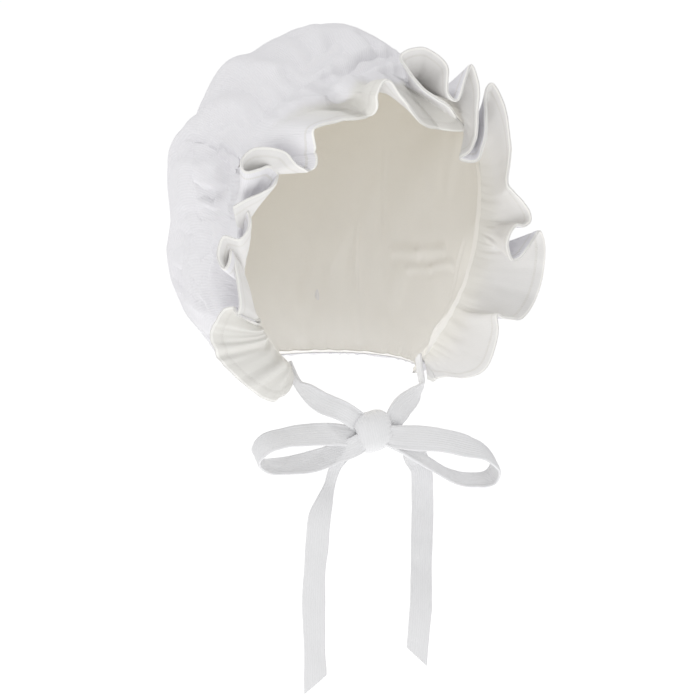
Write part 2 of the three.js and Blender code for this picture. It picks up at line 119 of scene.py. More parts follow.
SWELLS = table(["along", "back", "spread_along", "spread_back", "depth"], [
    [0.41, 0.32, 0.035, 0.20, -0.065],
    [0.35, 0.34, 0.060, 0.30, -0.075],
    [0.275, 0.24, 0.022, 0.22, -0.055],
    [0.235, 0.28, 0.030, 0.22, 0.040],
    [0.185, 0.26, 0.022, 0.20, -0.050],
    [0.120, 0.30, 0.050, 0.26, 0.165],
    [0.60, 0.22, 0.045, 0.16, -0.120],
    [0.72, 0.28, 0.035, 0.20, -0.050],
    [0.84, 0.26, 0.030, 0.20, -0.050],
    [0.87, 0.32, 0.045, 0.28, 0.060],
    [0.52, 0.42, 0.060, 0.10, 0.030],
    [0.46, 0.75, 0.050, 0.10, -0.035],
    [0.60, 0.68, 0.050, 0.10, -0.030],
    [0.460, 0.28, 0.035, 0.22, -0.048],
    [0.386, 0.28, 0.022, 0.20, 0.060],
    [0.322, 0.33, 0.020, 0.20, -0.050],
    [0.285, 0.38, 0.018, 0.20, 0.060],
    [0.234, 0.46, 0.016, 0.16, -0.045],
    [0.208, 0.55, 0.024, 0.18, 0.090],
    [0.140, 0.60, 0.040, 0.20, 0.085],
])

FOLDS = table(["root", "across", "up", "width"], [
    [0.000, -0.539, 0.002, 0.10],
    [0.008, -0.695, -0.041, 0.45],
    [0.022, -0.903, 0.008, 0.80],
    [0.056, -1.130, 0.106, 1.00],
    [0.073, -1.212, 0.179, 1.00],
    [0.081, -1.197, 0.243, 1.00],
    [0.089, -1.095, 0.299, 1.00],
    [0.094, -1.085, 0.265, 1.00],
    [0.102, -1.075, 0.321, 1.00],
    [0.123, -1.094, 0.437, 1.00],
    [0.130, -1.095, 0.484, 1.00],
    [0.138, -1.174, 0.424, 1.00],
    [0.144, -1.213, 0.462, 1.00],
    [0.151, -1.162, 0.520, 1.00],
    [0.159, -1.072, 0.518, 1.00],
    [0.168, -0.993, 0.566, 1.00],
    [0.178, -1.024, 0.624, 1.00],
    [0.184, -1.102, 0.618, 1.00],
    [0.192, -1.023, 0.640, 1.00],
    [0.209, -0.837, 0.677, 1.00],
    [0.216, -0.758, 0.710, 1.00],
    [0.222, -0.844, 0.741, 1.00],
    [0.231, -1.042, 0.731, 1.00],
    [0.237, -1.047, 0.775, 1.00],
    [0.244, -0.932, 0.801, 1.00],
    [0.257, -0.745, 0.787, 1.00],
    [0.268, -0.651, 0.742, 1.00],
    [0.277, -0.474, 0.713, 1.00],
    [0.288, -0.431, 0.758, 1.00],
    [0.340, -0.556, 0.858, 1.00],
    [0.382, -0.291, 0.879, 1.00],
    [0.418, -0.021, 0.884, 1.00],
    [0.442, -0.084, 0.960, 1.00],
    [0.462, -0.013, 1.008, 1.00],
    [0.486, 0.102, 0.950, 1.00],
    [0.516, 0.295, 0.859, 1.00],
    [0.534, 0.567, 0.826, 1.00],
    [0.540, 0.707, 0.834, 1.00],
    [0.544, 0.472, 0.913, 1.00],
    [0.549, 0.223, 0.982, 1.00],
    [0.553, 0.095, 1.078, 1.00],
    [0.557, 0.255, 1.108, 1.00],
    [0.561, 0.422, 1.056, 1.00],
    [0.570, 0.419, 0.968, 1.00],
    [0.576, 0.501, 0.938, 1.00],
    [0.584, 0.553, 0.992, 1.00],
    [0.594, 0.629, 1.050, 1.00],
    [0.604, 0.669, 0.996, 1.00],
    [0.621, 0.654, 0.902, 1.00],
    [0.640, 0.643, 0.783, 1.00],
    [0.646, 0.575, 0.744, 1.00],
    [0.650, 0.693, 0.738, 1.00],
    [0.655, 0.714, 0.810, 1.00],
    [0.665, 0.738, 0.952, 1.00],
    [0.668, 0.833, 0.987, 1.00],
    [0.679, 0.889, 0.916, 1.00],
    [0.730, 0.936, 0.786, 1.00],
    [0.764, 0.907, 0.677, 1.00],
    [0.775, 0.952, 0.641, 1.00],
    [0.784, 1.024, 0.610, 1.00],
    [0.793, 1.091, 0.573, 1.00],
    [0.798, 1.101, 0.540, 1.00],
    [0.801, 1.050, 0.525, 1.00],
    [0.805, 0.987, 0.529, 1.00],
    [0.809, 0.934, 0.501, 1.00],
    [0.814, 0.922, 0.455, 1.00],
    [0.818, 0.959, 0.414, 1.00],
    [0.821, 1.019, 0.420, 1.00],
    [0.825, 1.092, 0.454, 1.00],
    [0.829, 1.178, 0.489, 1.00],
    [0.831, 1.231, 0.498, 1.00],
    [0.835, 1.276, 0.470, 1.00],
    [0.841, 1.288, 0.419, 1.00],
    [0.856, 1.272, 0.333, 1.00],
    [0.873, 1.204, 0.259, 1.00],
    [0.898, 1.078, 0.212, 1.00],
    [0.908, 0.926, 0.223, 1.00],
    [0.915, 0.853, 0.235, 1.00],
    [0.929, 0.867, 0.168, 1.00],
    [0.962, 0.795, 0.059, 1.00],
    [0.981, 0.697, 0.019, 0.79],
    [0.993, 0.613, 0.009, 0.44],
    [0.998, 0.581, -0.017, 0.22],
    [1.000, 0.536, -0.011, 0.10],
])

STRAP_COLUMNS = ["inward", "forward", "down", "swing", "rise", "wide"]
ROUTE_COLUMNS = ["across", "back", "up", "swing", "rise", "wide"]

SEAT = table(["along", "wide"], [
    [0.035, 0.60],
    [0.018, 0.56],
    [0.002, 0.52],
])

RIGHT_STRAP = table(STRAP_COLUMNS, [
    [0.120, 0.22, 0.030, -80, 35, 0.60],
    [0.190, 0.50, 0.155, -50, 50, 0.80],
    [0.323, 0.78, 0.340, -20, 56, 0.88],
    [0.523, 1.15, 0.490, 0, 55, 0.92],
    [0.677, 1.35, 0.640, 0, 55, 0.88],
    [0.795, 1.38, 0.775, 0, 56, 0.84],
    [0.930, 1.34, 0.920, 0, 56, 0.84],
    [1.100, 1.35, 1.130, 0, 56, 0.84],
    [1.200, 1.30, 1.280, 0, 56, 0.80],
])

RIGHT_LOOP = table(ROUTE_COLUMNS, [
    [-0.060, -0.066, -0.010, 90, 78, 0.75],
    [0.040, -0.066, -0.008, 90, 78, 0.80],
    [0.128, -0.075, -0.036, 90, 74, 0.95],
    [0.306, -0.067, -0.061, 90, 70, 1.08],
    [0.501, -0.075, -0.088, 90, 68, 1.10],
    [0.709, -0.060, -0.146, 90, 60, 1.04],
    [0.885, -0.030, -0.214, 90, 46, 1.00],
    [1.005, 0.030, -0.325, 90, 33, 1.00],
    [0.990, 0.090, -0.425, 90, 29, 1.00],
    [0.836, 0.119, -0.440, 90, 29, 1.00],
    [0.673, 0.119, -0.396, 90, 30, 1.00],
    [0.497, 0.090, -0.290, 90, 38, 0.96],
    [0.304, 0.015, -0.168, 90, 52, 0.86],
    [0.142, -0.052, -0.070, 90, 72, 0.78],
    [0.040, -0.046, -0.015, 90, 78, 0.72],
    [-0.060, -0.046, -0.010, 90, 78, 0.70],
])

RIGHT_TAIL = table(ROUTE_COLUMNS, [
    [0.000, -0.042, -0.010, 180, 53, 0.70],
    [-0.063, -0.044, -0.042, 180, 52, 0.62],
    [-0.110, -0.049, -0.092, 180, 46, 0.56],
    [-0.150, -0.043, -0.145, 180, 34, 0.55],
    [-0.176, -0.035, -0.212, 180, 28, 0.62],
    [-0.212, -0.027, -0.275, 180, 15, 0.86],
    [-0.239, -0.025, -0.333, 180, 7, 1.00],
    [-0.249, -0.025, -0.437, 180, 3, 1.00],
    [-0.260, -0.025, -0.557, 180, 2, 1.00],
    [-0.264, -0.025, -0.678, 180, 0, 1.00],
    [-0.261, -0.025, -0.821, 180, -2, 1.00],
    [-0.257, -0.025, -1.000, 180, -22, 1.00],
])

LEFT_STRAP = table(STRAP_COLUMNS, [
    [0.115, 0.20, 0.050, 262, 35, 0.60],
    [0.125, 0.30, 0.190, 255, 38, 0.62],
    [0.200, 0.42, 0.280, 235, 46, 0.75],
    [0.315, 0.57, 0.385, 205, 54, 0.90],
    [0.500, 0.78, 0.525, 185, 50, 1.00],
    [0.625, 0.96, 0.660, 180, 48, 1.00],
    [0.720, 1.00, 0.845, 180, 62, 0.85],
    [0.836, 1.00, 0.945, 180, 76, 0.80],
])

LEFT_LOOP = table(ROUTE_COLUMNS, [
    [0.000, -0.005, 0.000, 180, 78, 0.80],
    [-0.110, -0.008, -0.022, 150, 78, 0.80],
    [-0.200, 0.000, -0.030, 100, 72, 0.90],
    [-0.352, 0.000, -0.004, 90, 62, 1.00],
    [-0.583, -0.030, 0.010, 90, 56, 1.04],
    [-0.798, -0.034, 0.000, 90, 50, 1.00],
    [-0.959, -0.017, -0.043, 90, 42, 1.00],
    [-1.020, 0.052, -0.148, 90, 33, 1.00],
    [-0.914, 0.121, -0.252, 90, 32, 1.00],
    [-0.722, 0.155, -0.270, 90, 34, 1.00],
    [-0.505, 0.138, -0.236, 90, 38, 1.00],
    [-0.302, 0.086, -0.156, 90, 48, 0.92],
    [-0.185, 0.042, -0.066, 110, 68, 0.85],
    [-0.100, 0.034, -0.022, 150, 78, 0.80],
    [0.000, 0.034, 0.000, 180, 78, 0.80],
])

LEFT_TAIL = table(ROUTE_COLUMNS, [
    [0.055, 0.019, 0.006, 180, 78, 0.80],
    [0.105, 0.026, 0.008, 182, 78, 0.82],
    [0.145, 0.062, -0.025, 186, 74, 0.88],
    [0.200, 0.100, -0.082, 190, 62, 0.95],
    [0.250, 0.130, -0.139, 190, 44, 1.00],
    [0.288, 0.142, -0.203, 188, 20, 1.00],
    [0.288, 0.125, -0.330, 184, 4, 1.00],
    [0.272, 0.095, -0.520, 180, 0, 1.00],
    [0.262, 0.078, -0.649, 180, 0, 1.00],
    [0.249, 0.052, -0.777, 180, 2, 1.00],
    [0.234, 0.043, -0.905, 180, 3, 1.00],
    [0.226, 0.043, -1.000, 180, 8, 1.00],
])


# Creases and ridges of the outer cloth and the lining: from one place on the cap to another, along
# and back, with a half width and a depth in millimetres (minus is a ridge).
CREASE_COLUMNS = ["along0", "back0", "along1", "back1", "wide", "depth"]

CROWN_CREASES = table(CREASE_COLUMNS, [
    [0.278, 0.353, 0.266, 0.221, 4.0, 2.0],
    [0.266, 0.221, 0.266, 0.140, 3.4, 2.8],
    [0.266, 0.140, 0.276, 0.081, 3.2, 2.8],
    [0.276, 0.081, 0.281, 0.020, 3.2, 1.8],
    [0.246, 0.135, 0.251, 0.070, 8.0, -3.4],
    [0.225, 0.170, 0.227, 0.095, 2.8, 2.4],
    [0.227, 0.095, 0.238, 0.030, 3.0, 1.5],
    [0.204, 0.319, 0.198, 0.196, 2.5, 0.7],
    [0.198, 0.196, 0.209, 0.062, 2.2, 0.8],
    [0.197, 0.435, 0.177, 0.302, 4.0, 1.2],
    [0.177, 0.302, 0.178, 0.141, 4.0, 1.0],
    [0.158, 0.400, 0.154, 0.332, 6.0, 1.8],
    [0.154, 0.332, 0.145, 0.226, 4.6, 1.8],
    [0.145, 0.226, 0.151, 0.169, 4.2, 1.5],
    [0.151, 0.169, 0.160, 0.134, 3.0, 1.4],
    [0.191, 0.529, 0.129, 0.281, 4.0, 1.3],
    [0.129, 0.281, 0.122, 0.231, 3.5, 1.3],
    [0.410, 0.076, 0.419, 0.011, 3.0, 1.2],
    [0.461, 0.198, 0.456, 0.103, 4.5, 1.3],
    [0.413, 0.019, 0.457, 0.025, 5.0, -1.2],
    [0.457, 0.025, 0.480, 0.050, 5.0, -1.2],
    [0.522, 0.144, 0.527, 0.114, 3.0, 1.6],
    [0.527, 0.114, 0.525, 0.089, 2.5, 1.6],
    [0.353, 0.144, 0.366, 0.051, 5.0, 1.0],
    [0.305, 0.169, 0.319, 0.053, 5.0, 0.9],
    [0.278, 0.185, 0.298, 0.095, 4.0, 0.8],
    [0.484, 0.139, 0.491, 0.084, 4.0, 0.9],
    [0.383, 0.143, 0.396, 0.077, 4.0, 0.9],
    [0.452, 0.006, 0.453, 0.002, 2.5, 1.0],
    [0.425, 0.060, 0.452, 0.140, 6.0, 1.3],
    [0.438, 0.110, 0.478, 0.190, 7.0, -1.6],
    [0.400, 0.120, 0.420, 0.060, 6.0, -1.4],
    [0.455, 0.060, 0.500, 0.130, 4.5, 1.2],
    [0.345, 0.220, 0.372, 0.120, 7.0, 1.4],
    [0.325, 0.200, 0.345, 0.100, 8.0, -1.6],
    [0.300, 0.260, 0.312, 0.150, 7.0, -1.4],
    [0.500, 0.090, 0.512, 0.180, 6.0, -1.2],
    [0.372, 0.013, 0.362, 0.001, 3.0, 1.0],
    [0.492, 0.010, 0.509, 0.041, 3.5, 1.8],
    [0.509, 0.041, 0.527, 0.056, 3.5, 2.2],
    [0.527, 0.056, 0.553, 0.084, 3.5, 2.2],
])

LINING_CREASES = table(CREASE_COLUMNS, [
    [0.704, 0.644, 0.753, 0.593, 2.5, -0.6],
    [0.753, 0.593, 0.801, 0.499, 2.5, -0.6],
    [0.740, 0.651, 0.787, 0.580, 2.0, -0.5],
    [0.787, 0.580, 0.838, 0.457, 2.0, -0.5],
    [0.633, 0.640, 0.634, 0.780, 0.9, -0.35],
    [0.652, 0.482, 0.682, 0.625, 0.9, -0.35],
    [0.835, 0.340, 0.848, 0.426, 1.5, 0.6],
    [0.848, 0.426, 0.872, 0.502, 1.5, 0.6],
    [0.872, 0.502, 0.905, 0.580, 1.5, 0.5],
])

# The roll along the frill's top left part, in the frill's own place and share of its width, with
# its depth in millimetres.
FRILL_ROLL = table(["place", "out", "depth"], [
    [0.345, 0.20, 0.0],
    [0.357, 0.30, 1.6],
    [0.364, 0.38, 2.6],
    [0.370, 0.52, 3.0],
    [0.376, 0.62, 3.2],
    [0.383, 0.64, 3.2],
    [0.391, 0.58, 3.0],
    [0.402, 0.44, 2.6],
    [0.414, 0.30, 2.2],
    [0.430, 0.22, 1.6],
    [0.446, 0.20, 0.0],
])


# Small helpers
def unit(v):
    return v / np.maximum(np.linalg.norm(v, axis=-1, keepdims=True), 1e-12)


def bump_at(x, centre, spread):
    return np.exp(-(((x - centre) / spread) ** 2))


def smoothstep(x, low, high):
    t = np.clip((x - low) / (high - low), 0, 1)
    return t * t * (3 - 2 * t)


def noise(x, y, seed):
    """Smooth noise from -1 to 1 with one lump to each whole step of x and y."""
    size = 64
    grid = np.random.RandomState(seed).uniform(-1, 1, (size, size))
    xi = np.floor(x).astype(int)
    yi = np.floor(y).astype(int)
    fx = x - xi
    fy = y - yi
    fx = fx * fx * (3 - 2 * fx)
    fy = fy * fy * (3 - 2 * fy)
    x0, x1, y0, y1 = xi % size, (xi + 1) % size, yi % size, (yi + 1) % size
    low = grid[x0, y0] * (1 - fx) + grid[x1, y0] * fx
    high = grid[x0, y1] * (1 - fx) + grid[x1, y1] * fx
    return low * (1 - fy) + high * fy


def pleats(x, seed):
    """Uneven gathers along x, with one or so to each whole step: soft tops and tight valleys."""
    drift = noise(x * 0.37, x * 0.0, seed) * 0.9
    wave = np.cos(2 * math.pi * (x + drift))
    height = 0.75 + 0.35 * noise(x * 0.8, x * 0.0 + 7.3, seed + 1)
    return height * (0.62 * wave + 0.25 * np.cos(4 * math.pi * (x + drift) + 0.9))


def along_rows(column, place):
    """A table's column as a smooth curve through its rows."""
    last = len(column) - 1
    scaled = np.clip(place, 0, 1) * last
    i = np.minimum(scaled.astype(int), last - 1)
    f = scaled - i
    b = column[i]
    c = column[i + 1]
    a = np.where(i > 0, column[np.maximum(i - 1, 0)], 2 * b - c)
    d = np.where(i + 2 <= last, column[np.minimum(i + 2, last)], 2 * c - b)
    bend = (2 * a - 5 * b + 4 * c - d) * f ** 2
    turn = (3 * b - a - 3 * c + d) * f ** 3
    return 0.5 * (2 * b + (c - a) * f + bend + turn)


def creased(along, back, creases):
    """How far creases and ridges move the cloth in, in millimetres."""
    x = along * CAP_CUT_WIDTH
    y = back * CAP_CUT_DEPTH
    total = np.zeros_like(along)
    for a0, b0, a1, b1, wide, depth in zip(*[creases[k] for k in CREASE_COLUMNS]):
        start = np.array([a0 * CAP_CUT_WIDTH, b0 * CAP_CUT_DEPTH])
        way = np.array([a1 * CAP_CUT_WIDTH, b1 * CAP_CUT_DEPTH]) - start
        t = ((x - start[0]) * way[0] + (y - start[1]) * way[1]) / max(way @ way, 1e-6)
        t = np.clip(t, 0, 1)
        far = np.hypot(x - start[0] - t * way[0], y - start[1] - t * way[1])
        line = np.exp(-((far / wide) ** 2))
        lips = np.exp(-(((far - 1.9 * wide) / wide) ** 2))
        total = total + depth * (line - 0.35 * lips)
    return total


def random_creases(count, seed, depth):
    """Small soft creases all over the cap, most of them running back from the ring."""
    pick = np.random.RandomState(seed)
    a0 = pick.uniform(0.06, 0.94, count)
    b0 = pick.uniform(0.10, 0.85, count)
    a1 = a0 + pick.uniform(-0.05, 0.05, count)
    b1 = b0 + pick.uniform(0.05, 0.22, count)
    wide = pick.uniform(2.5, 6.0, count)
    deep = depth * pick.uniform(0.4, 1.0, count)
    return dict(zip(CREASE_COLUMNS, [a0, b0, a1, b1, wide, deep]))


# The cap's form
def cap_form(along, back):
    """The cap's smooth form: along runs from corner to corner over the head, back to the nape."""
    lean = np.radians(along_rows(ARCHES["lean"], back))
    reach = along_rows(ARCHES["reach"], back) * CAP_REACH
    half = along_rows(ARCHES["half"], back) * CAP_HALF_WIDTH
    widest = along_rows(ARCHES["widest"], back) * CAP_REACH
    climb = 1 - np.abs(2 * along - 1)
    low = np.clip(climb / LOW_SHARE, 0, 1)
    high = np.clip((climb - LOW_SHARE) / (1 - LOW_SHARE), 0, 1) * math.pi / 2
    lift = 0.55 * low + 0.45 * (1 - np.cos(low * math.pi / 2))
    low_across = CORNER_HALF + (half - CORNER_HALF) * np.sin(low * math.pi / 2)
    low_out = CORNER_RADIUS + (widest - CORNER_RADIUS) * lift
    power = 2 / ROUNDNESS
    high_across = half * np.clip(np.cos(high), 0, 1) ** power
    high_out = widest + (reach - widest) * np.clip(np.sin(high), 0, 1) ** power
    upper = climb > LOW_SHARE
    across = np.where(upper, high_across, low_across)
    out = np.where(upper, high_out, low_out)
    side = np.where(along < 0.5, -1.0, 1.0)
    return np.stack([
        side * across,
        CORNER_Y + out * np.cos(lean),
        CORNER_Z + out * np.sin(lean),
    ], -1)


def outward(surface, along, back):
    """The surface's unit normal."""
    step = 1e-3
    sideways = surface(np.minimum(along + step, 1), back) - surface(np.maximum(along - step, 0), back)
    rearward = surface(along, np.minimum(back + step, 1)) - surface(along, np.maximum(back - step, 0))
    return unit(np.cross(sideways, rearward))


def swell(along, back):
    """How far the cloth's large lumps stand out, in millimetres."""
    total = np.zeros_like(along)
    for a0, b0, sa, sb, depth in zip(*[SWELLS[k] for k in SWELLS]):
        total += depth * CAP_HALF_WIDTH * bump_at(along, a0, sa) * bump_at(back, b0, sb)
    return total


def cap_point(along, back, depth=0.0):
    """A point at a depth inside the cap's outer face."""
    normal = outward(cap_form, along, back)
    hem = np.clip(back / 0.12, 0, 1) * np.clip((1 - back) / 0.1, 0, 1)
    puff = swell(along, back) * hem
    return cap_form(along, back) + normal * (puff - depth)[..., None]


ring_up = np.array([0, math.cos(math.radians(RING_LEAN)), math.sin(math.radians(RING_LEAN))])
ring_forward = np.array([0, -ring_up[2], ring_up[1]])
hinge = np.array([0, CORNER_Y, CORNER_Z])


# The frill's form
def ring_point(along):
    """Where the frill starts, a gap in front of the cap's face edge."""
    depth = np.full_like(along, CAP_WALL / 2)
    middle = cap_point(along, np.zeros_like(along), depth)
    behind = (hinge - middle) @ ring_forward
    return middle + ring_forward * (behind + PIECE_GAP)[..., None]


def hem_point(place):
    """A point on the frill's free edge, its own width away from its root."""
    root = ring_point(along_rows(FOLDS["root"], place))
    width = along_rows(FOLDS["width"], place) * FRILL_WIDTH
    across = along_rows(FOLDS["across"], place) * CAP_HALF_WIDTH
    up = along_rows(FOLDS["up"], place) * CAP_REACH
    stand = hinge + across[..., None] * np.array([1.0, 0, 0]) + up[..., None] * ring_up
    offset = stand - root
    offset = offset - ring_forward * (offset @ ring_forward)[..., None]
    least = FRILL_LEAST_FORWARD * width
    forward = np.sqrt(np.maximum(width ** 2 - np.sum(offset ** 2, -1), least ** 2))
    return root + offset + ring_forward * forward[..., None]


def frill_middle(place, out):
    """The middle of the frill's cloth, from its root to its hem."""
    root = ring_point(along_rows(FOLDS["root"], place))
    hem = hem_point(place)
    width = along_rows(FOLDS["width"], place) * FRILL_WIDTH
    bend = root + ring_forward * (0.45 * width)[..., None]
    a = ((1 - out) ** 2)[..., None]
    b = (2 * out * (1 - out))[..., None]
    c = (out ** 2)[..., None]
    return root * a + bend * b + hem * c


# Meshes
def make_object(name, verts, faces, uv, material):
    mesh = bpy.data.meshes.new(name)
    mesh.from_pydata((verts * MILLIMETRE).tolist(), [], faces.tolist())
    layer = mesh.uv_layers.new(name="cloth")
    corners = np.empty(len(mesh.loops), dtype=np.int32)
    mesh.loops.foreach_get("vertex_index", corners)
    layer.data.foreach_set("uv", uv[corners].astype(np.float32).ravel())
    mesh.polygons.foreach_set("use_smooth", np.ones(len(mesh.polygons), dtype=bool))
    mesh.materials.append(material)
    mesh.validate()
    mesh.update()
    obj = bpy.data.objects.new(name, mesh)
    bpy.context.collection.objects.link(obj)
    return obj


def grid_faces(columns, rows, start, closed=False):
    """The four-sided faces of a grid of points, whose first column may join the last."""
    i = np.arange(columns if closed else columns - 1)
    j = np.arange(rows - 1)
    i, j = np.meshgrid(i, j, indexing="ij")
    k = (i + 1) % columns
    quad = np.stack([i * rows + j, k * rows + j, k * rows + j + 1, i * rows + j + 1], -1)
    return quad.reshape(-1, 4) + start


def closed_sheet(name, front, rear, uv_front, uv_rear, material):
    """A closed cloth between two grids of points, the front one right-handed seen from outside."""
    columns, rows = front.shape[:2]
    count = columns * rows
    verts = np.concatenate([front.reshape(-1, 3), rear.reshape(-1, 3)])
    uv = np.concatenate([uv_front.reshape(-1, 2), uv_rear.reshape(-1, 2)])
    faces = [grid_faces(columns, rows, 0), grid_faces(columns, rows, count)[:, ::-1]]
    at = np.arange(count).reshape(columns, rows)
    for edge in (at[:, 0][::-1], at[:, -1], at[0], at[-1][::-1]):
        a, b = edge[:-1], edge[1:]
        faces.append(np.stack([b, a, a + count, b + count], -1))
    return make_object(name, verts, np.concatenate(faces), uv, material)


# Materials
class Value:
    """A shader socket that takes arithmetic."""

    def __init__(self, tree, socket):
        self.tree = tree
        self.socket = socket

    def combine(self, operation, *others):
        node = self.tree.nodes.new("ShaderNodeMath")
        node.operation = operation
        for i, value in enumerate((self, *others)):
            if isinstance(value, Value):
                self.tree.links.new(value.socket, node.inputs[i])
            else:
                node.inputs[i].default_value = value
        return Value(self.tree, node.outputs[0])

    def __add__(self, other):
        return self.combine("ADD", other)

    def __sub__(self, other):
        return self.combine("SUBTRACT", other)

    def __mul__(self, other):
        return self.combine("MULTIPLY", other)

    def wave(self, pitch):
        """1 on each crest and 0 in each trough, a pitch apart."""
        turned = self.combine("MULTIPLY", 2 * math.pi / pitch).combine("COSINE")
        return turned * 0.5 + 0.5

    def above(self, edge):
        return self.combine("GREATER_THAN", edge)

    def below(self, edge):
        return self.combine("LESS_THAN", edge)

    def power(self, exponent):
        return self.combine("POWER", exponent)


def new_material(name, roughness, sheen):
    material = bpy.data.materials.new(name)
    material.use_nodes = True
    tree = material.node_tree
    tree.nodes.clear()
    shader = tree.nodes.new("ShaderNodeBsdfPrincipled")
    output = tree.nodes.new("ShaderNodeOutputMaterial")
    tree.links.new(shader.outputs[0], output.inputs[0])
    shader.inputs["Roughness"].default_value = roughness
    shader.inputs["Sheen Weight"].default_value = sheen
    shader.inputs["Sheen Roughness"].default_value = 0.5
    shader.inputs["Specular IOR Level"].default_value = 0.2
    return material, tree, shader


def cloth_place(tree):
    """The two cloth coordinates, in metres, and the socket that holds both."""
    node = tree.nodes.new("ShaderNodeUVMap")
    node.uv_map = "cloth"
    split = tree.nodes.new("ShaderNodeSeparateXYZ")
    tree.links.new(node.outputs[0], split.inputs[0])
    return Value(tree, split.outputs[0]), Value(tree, split.outputs[1]), node.outputs[0]


def noise_value(tree, place, scale):
    node = tree.nodes.new("ShaderNodeTexNoise")
    node.inputs["Scale"].default_value = scale
    node.inputs["Detail"].default_value = MOTTLE_DETAIL
    tree.links.new(place, node.inputs["Vector"])
    return Value(tree, node.outputs["Fac"])


def mix_colour(tree, factor, low, high):
    node = tree.nodes.new("ShaderNodeMix")
    node.data_type = "RGBA"
    tree.links.new(factor.socket, node.inputs[0])
    for socket, value in ((node.inputs[6], low), (node.inputs[7], high)):
        if isinstance(value, tuple):
            socket.default_value = (*value, 1.0)
        else:
            tree.links.new(value, socket)
    return node.outputs[2]


def painted_shade_and_bounce_value(tree):
    """How far the cloth is painted darker and yellower at each point, from 0 to 1, as painted shade
    and painted bounce light.
    """
    attribute = tree.nodes.new("ShaderNodeAttribute")
    attribute.attribute_name = "painted_shade_and_bounce"
    return Value(tree, attribute.outputs["Fac"])


def add_bump(tree, shader, height, distance):
    node = tree.nodes.new("ShaderNodeBump")
    node.inputs["Strength"].default_value = 1.0
    node.inputs["Distance"].default_value = distance
    tree.links.new(height.socket, node.inputs["Height"])
    tree.links.new(node.outputs[0], shader.inputs["Normal"])


def ribbed_cloth(name, light, dark, relief):
    """White cotton with fine raised ribs, each a pitch apart across the cloth's first coordinate."""
    material, tree, shader = new_material(name, 0.92, 0.12)
    across, down, place = cloth_place(tree)
    rib = across.wave(RIB_PITCH * MILLIMETRE)
    thread = down.wave(THREAD_PITCH * MILLIMETRE)
    mottle = noise_value(tree, place, FINE_MOTTLE)
    soft = noise_value(tree, place, SOFT_MOTTLE)
    # Painted shade: the ribs' troughs are painted darker than their crests; the mottle is uneven tone
    # of the cloth.
    shade = rib * 0.4 + mottle * 0.25 + soft * 0.35
    tree.links.new(mix_colour(tree, shade, dark, light), shader.inputs["Base Color"])
    add_bump(tree, shader, rib.power(0.7) + thread * 0.18 + mottle * 0.5, relief)
    return material


def frill_material(name, light, dark, painted_shade_light, painted_shade_dark, edge, stitch):
    """The ruffle: ribbed white cloth outside and plain cloth inside, painted yellower and darker
    inside and on a strip outside as painted shade and painted bounce light, with a stitched rim.
    """
    material, tree, shader = new_material(name, 0.92, 0.12)
    across, down, place = cloth_place(tree)
    inside = down.above(0.5)
    out = down - inside
    rib = across.wave(RIB_PITCH * MILLIMETRE)
    thread = down.wave(THREAD_PITCH * MILLIMETRE)
    mottle = noise_value(tree, place, FINE_MOTTLE)
    soft = noise_value(tree, place, SOFT_MOTTLE)
    ribbed = rib.power(0.7) + thread * 0.18 + mottle * 0.5
    plain = mottle * 0.6 + across.wave(INSIDE_WEAVE_PITCH * MILLIMETRE) * 0.12 + thread * 0.12
    stitch_line = (FRILL_WIDTH - HEM_BAND) * MILLIMETRE
    reach = STITCH_HALF_WIDTH * MILLIMETRE
    seam = out.above(stitch_line - reach) * out.below(stitch_line + reach)
    stitches = seam * across.wave(STITCH_PITCH * MILLIMETRE).above(0.25)
    height = ribbed * (inside * -1.0 + 1.0) + plain * inside + stitches * 0.8
    # Painted shade: the ribs' troughs are painted darker than their crests; the mottle is uneven tone
    # of the cloth.
    white = mix_colour(tree, rib * 0.4 + mottle * 0.25 + soft * 0.35, dark, light)
    # Painted shade and painted bounce light: a darker, yellower colour in place of the white.
    painted_shade_colour = mix_colour(tree, soft * 0.5 + mottle * 0.5, painted_shade_dark, painted_shade_light)
    colour = mix_colour(tree, painted_shade_and_bounce_value(tree), white, painted_shade_colour)
    # Painted bounce light: the hem's outermost edge is painted lighter and yellower, as if lit by
    # light thrown back from the lining.
    rim = out.above((FRILL_WIDTH - RIM_WIDTH) * MILLIMETRE)
    colour = mix_colour(tree, rim, colour, edge)
    # Painted shade: the stitch line is painted darker, as the shade in its groove.
    colour = mix_colour(tree, seam * 0.5, colour, stitch)
    tree.links.new(colour, shader.inputs["Base Color"])
    add_bump(tree, shader, height, 0.0001)
    return material


def plain_cloth(name, light, dark, deep):
    """Cream cotton in a fine plain weave, painted darker and yellower towards the top of the cap as
    painted shade.
    """
    material, tree, shader = new_material(name, 0.95, 0.08)
    across, down, place = cloth_place(tree)
    weave = across.wave(WEAVE_PITCH * MILLIMETRE) * down.wave(WEAVE_PITCH * MILLIMETRE)
    mottle = noise_value(tree, place, LINING_FINE_MOTTLE)
    soft = noise_value(tree, place, LINING_SOFT_MOTTLE)
    colour = mix_colour(tree, soft * 0.6 + mottle * 0.4, dark, light)
    # Painted shade: the colour turns darker and yellower where the cap's own shade falls inside its
    # top.
    colour = mix_colour(tree, painted_shade_and_bounce_value(tree), colour, deep)
    tree.links.new(colour, shader.inputs["Base Color"])
    add_bump(tree, shader, weave * 0.4 + mottle * 0.6, 0.00012)
    return material


WHITE = (0.88, 0.872, 0.895)
WHITE_SHADE = (0.82, 0.812, 0.835)
# Painted shade and bounce light of the ruffle, darker and yellower than its white cloth
FRILL_PAINTED_SHADE = (0.83, 0.818, 0.785)
FRILL_PAINTED_SHADE_DARK = (0.78, 0.768, 0.73)
LINING = (0.955, 0.942, 0.915)
LINING_SHADE = (0.925, 0.91, 0.88)
# Painted shade inside the top of the lining
LINING_PAINTED_SHADE = (0.71, 0.66, 0.55)
TIE_WHITE = (0.86, 0.86, 0.87)
TIE_SHADE = (0.80, 0.80, 0.81)
